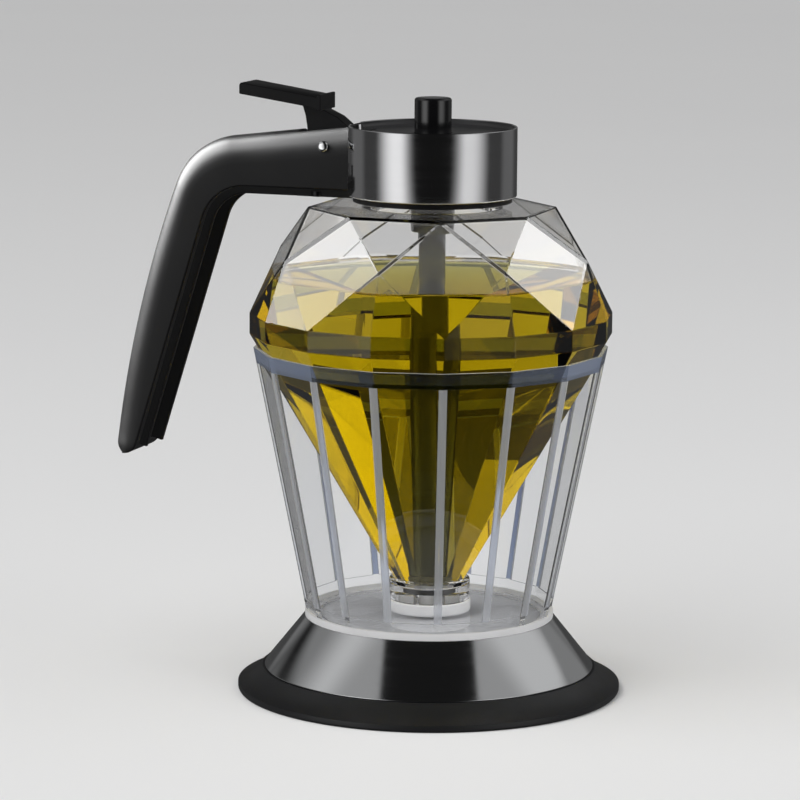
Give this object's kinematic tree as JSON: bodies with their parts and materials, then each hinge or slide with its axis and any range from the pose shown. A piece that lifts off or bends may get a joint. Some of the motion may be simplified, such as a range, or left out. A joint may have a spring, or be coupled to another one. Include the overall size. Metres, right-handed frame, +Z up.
{
  "type": "honey dispenser",
  "caption": "Faceted clear jar of honey that stands in a clear fluted holder, with a side handle and a thumb lever that lifts a valve rod to let honey out at the bottom.",
  "frame": {"origin": "centre of the rubber foot's underside, on the vertical axis of jar, holder and lid", "axes": "+Z up along the jar's axis, -X towards the handle, so the XZ plane is the plane of handle and lever"},
  "size_m": [0.1221, 0.089, 0.1401],
  "materials": {
    "foot_rubber": "satin",
    "core_plastic": "matte",
    "skirt_steel": "satin",
    "pale_plastic": "matte",
    "screw_steel": "satin",
    "holder_clear": "clear",
    "jar_clear": "clear",
    "seal_rubber": "matte",
    "honey": "translucent golden",
    "black_moulding": "satin",
    "polished_steel": "polished",
    "dark_plate": "satin",
    "gloss_black": "gloss",
    "pin_chrome": "polished"
  },
  "bodies": {
    "stand": {"foot_ring": "foot_rubber", "base_core": "core_plastic", "base_skirt": "skirt_steel", "seat_plate": "pale_plastic", "base_screws": "screw_steel", "holder_cup": "holder_clear"},
    "jar": {"jar": "jar_clear", "outlet_seat": "seal_rubber", "nozzle_ring": "pale_plastic", "honey": "honey"},
    "seal": {"lid_gasket": "seal_rubber"},
    "lid": {"lid_body": "black_moulding", "lid_cover": "polished_steel", "top_plate": "dark_plate", "guide_sleeve": "gloss_black", "guide_bush": "gloss_black", "return_spring": "screw_steel", "handle_shell": "black_moulding", "handle_liner": "black_moulding", "handle_screws": "screw_steel", "pivot_pin": "pin_chrome"},
    "rod": {"valve_rod": "gloss_black", "knob": "gloss_black", "valve_plug": "seal_rubber"},
    "lever": {"thumb_lever": "black_moulding"}
  },
  "joints": [
    {"name": "jar_lift", "type": "slide", "parent": "stand", "child": "jar", "axis": [0, 0, 1], "range_m": [0, 0.065]},
    {"name": "lid_rise", "type": "slide", "parent": "jar", "child": "seal", "axis": [0, 0, 1], "range_m": [0, 0.002]},
    {"name": "lid_unscrew", "type": "hinge", "parent": "seal", "child": "lid", "pos_m": [0, 0, 0.116], "axis": [0, 0, 1], "range_deg": [0, 360]},
    {"name": "lever_press", "type": "hinge", "parent": "lid", "child": "lever", "pos_m": [-0.0241, 0, 0.1263], "axis": [0, -1, 0], "range_deg": [0, 12], "stiffness_Nm_per_rad": 0.087, "springref_deg": -23.78},
    {"name": "rod_lift", "type": "slide", "parent": "lid", "child": "rod", "axis": [0, 0, 1], "range_m": [0, 0.00504], "deforming": ["return_spring"]}
  ],
  "couplings": [
    {"joint": "lid_unscrew", "follows": "lid_rise", "rad_per_m": 3141.6},
    {"joint": "lever_press", "follows": "rod_lift", "rad_per_m": 41.494}
  ]
}
